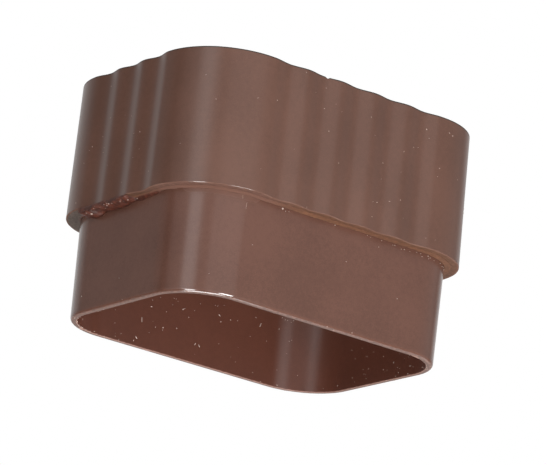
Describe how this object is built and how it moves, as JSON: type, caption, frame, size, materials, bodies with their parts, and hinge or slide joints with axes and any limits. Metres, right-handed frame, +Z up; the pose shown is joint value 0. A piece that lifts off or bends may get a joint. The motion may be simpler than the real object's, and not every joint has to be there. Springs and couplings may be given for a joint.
{
  "type": "downpipe connector",
  "caption": "Rectangular PVC downpipe connector: a fluted socket for the upper pipe, cemented round a plain tapered spigot that goes into the lower pipe.",
  "frame": {"origin": "centre of the spigot's rim plane, at the lowest point of the part", "axes": "+Z up along the pipe, from the spigot to the mouth of the sleeve; +X along the long sides; +Y along the short sides"},
  "size_m": [0.1066, 0.0792, 0.071],
  "materials": {
    "sleeve_pvc": "extruded brown PVC, soft sheen",
    "spigot_pvc": "moulded brown PVC, satin with a soft sheen",
    "solvent_cement": "set solvent cement, dark red-brown and glossy"
  },
  "bodies": {
    "root": {"fluted_sleeve": "sleeve_pvc", "spigot_tube": "spigot_pvc", "cement_joint": "solvent_cement"}
  },
  "joints": []
}
